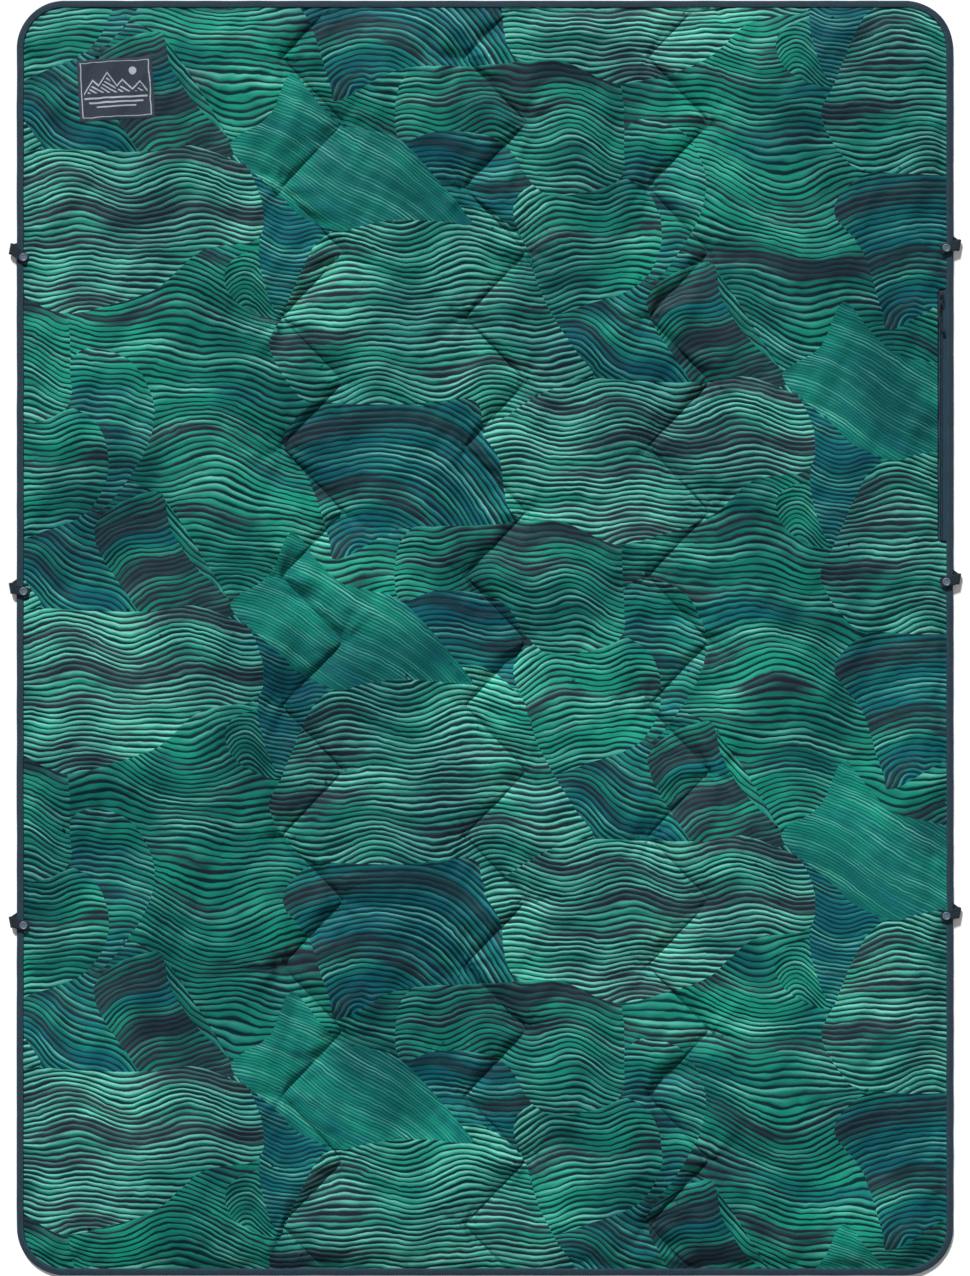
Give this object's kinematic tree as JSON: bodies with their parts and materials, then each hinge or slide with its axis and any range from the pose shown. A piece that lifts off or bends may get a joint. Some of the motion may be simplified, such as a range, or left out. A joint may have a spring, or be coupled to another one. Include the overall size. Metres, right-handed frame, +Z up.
{
  "type": "quilted camp blanket",
  "caption": "Flat quilted blanket with a printed face, bound edge, woven label, snap straps along both long sides and a zipped stuff pocket.",
  "frame": {"origin": "middle of the underside of the flat blanket", "axes": "+Z up through the printed face, +Y along the length towards the end with the label, +X across the width towards the side with the zip"},
  "size_m": [1.423, 1.905, 0.0137],
  "materials": {
    "print": "printed satin taffeta in wavy green, teal and charcoal lines",
    "batting": "soft white polyester batting, hidden",
    "backing": "plain navy taffeta",
    "binding": "dark navy folded tape",
    "thread_navy": "navy polyester thread",
    "thread_teal": "dark teal polyester thread",
    "label": "navy woven damask",
    "lining": "navy lining",
    "tape": "navy woven zip tape",
    "coil": "nylon coil",
    "slider": "dark painted die casting",
    "ribbon": "near-black grosgrain ribbon",
    "snap": "matt blue-grey lacquer",
    "snap_metal": "plated steel"
  },
  "bodies": {
    "root": {"backing_fabric": "backing", "binding_stitching": "thread_navy", "edge_binding": "binding", "face_fabric": "print", "insulation_batting": "batting", "label_patch": "label", "label_stitching": "thread_navy", "pocket_panel_lower": "lining", "pocket_panel_upper": "lining", "pocket_seam": "lining", "quilt_bobbin_thread_centre": "thread_teal", "quilt_bobbin_thread_left": "thread_teal", "quilt_bobbin_thread_right": "thread_teal", "quilt_needle_thread_centre": "thread_teal", "quilt_needle_thread_left": "thread_teal", "quilt_needle_thread_right": "thread_teal", "snap_post_left_bottom": "snap", "snap_post_left_middle": "snap", "snap_post_left_top": "snap", "snap_post_right_bottom": "snap", "snap_post_right_middle": "snap", "snap_post_right_top": "snap", "snap_stud_left_bottom": "snap_metal", "snap_stud_left_middle": "snap_metal", "snap_stud_left_top": "snap_metal", "snap_stud_right_bottom": "snap_metal", "snap_stud_right_middle": "snap_metal", "snap_stud_right_top": "snap_metal", "strap_anchor_left_bottom": "ribbon", "strap_anchor_left_middle": "ribbon", "strap_anchor_left_top": "ribbon", "strap_anchor_right_bottom": "ribbon", "strap_anchor_right_middle": "ribbon", "strap_anchor_right_top": "ribbon", "zip_coil_inner": "coil", "zip_coil_outer": "coil", "zip_tape_inner": "tape", "zip_tape_outer": "tape"},
    "strap_left_top": {"strap_flap_left_top": "ribbon", "snap_cap_left_top": "snap", "snap_socket_left_top": "snap_metal"},
    "strap_left_middle": {"strap_flap_left_middle": "ribbon", "snap_cap_left_middle": "snap", "snap_socket_left_middle": "snap_metal"},
    "strap_left_bottom": {"strap_flap_left_bottom": "ribbon", "snap_cap_left_bottom": "snap", "snap_socket_left_bottom": "snap_metal"},
    "strap_right_top": {"strap_flap_right_top": "ribbon", "snap_cap_right_top": "snap", "snap_socket_right_top": "snap_metal"},
    "strap_right_middle": {"strap_flap_right_middle": "ribbon", "snap_cap_right_middle": "snap", "snap_socket_right_middle": "snap_metal"},
    "strap_right_bottom": {"strap_flap_right_bottom": "ribbon", "snap_cap_right_bottom": "snap", "snap_socket_right_bottom": "snap_metal"},
    "zip_slider": {"zip_slider": "slider"},
    "zip_pull": {"zip_pull_tab": "slider", "zip_pull_ribbon": "ribbon"}
  },
  "joints": [
    {"name": "strap_open_left_top", "type": "hinge", "parent": "root", "child": "strap_left_top", "pos_m": [-0.70601, 0.58072, 0.005], "axis": [-0.1736, -0.9848, 0], "range_deg": [0, 170]},
    {"name": "strap_open_left_middle", "type": "hinge", "parent": "root", "child": "strap_left_middle", "pos_m": [-0.70601, 0.07452, 0.005], "axis": [0.1736, -0.9848, 0], "range_deg": [0, 170]},
    {"name": "strap_open_left_bottom", "type": "hinge", "parent": "root", "child": "strap_left_bottom", "pos_m": [-0.70601, -0.42398, 0.005], "axis": [0.1736, -0.9848, 0], "range_deg": [0, 170]},
    {"name": "strap_open_right_top", "type": "hinge", "parent": "root", "child": "strap_right_top", "pos_m": [0.70601, 0.58702, 0.005], "axis": [0.1736, 0.9848, 0], "range_deg": [0, 170]},
    {"name": "strap_open_right_middle", "type": "hinge", "parent": "root", "child": "strap_right_middle", "pos_m": [0.70601, 0.08852, 0.005], "axis": [0.1736, 0.9848, 0], "range_deg": [0, 170]},
    {"name": "strap_open_right_bottom", "type": "hinge", "parent": "root", "child": "strap_right_bottom", "pos_m": [0.70601, -0.40998, 0.005], "axis": [0.1736, 0.9848, 0], "range_deg": [0, 170]},
    {"name": "zip_slide", "type": "slide", "parent": "root", "child": "zip_slider", "axis": [0, 1, 0], "range_m": [-0.361, 0]},
    {"name": "zip_pull_swing", "type": "hinge", "parent": "zip_slider", "child": "zip_pull", "pos_m": [0.681, 0.51325, 0.0095], "axis": [-1, 0, 0], "range_deg": [0, 150]}
  ]
}
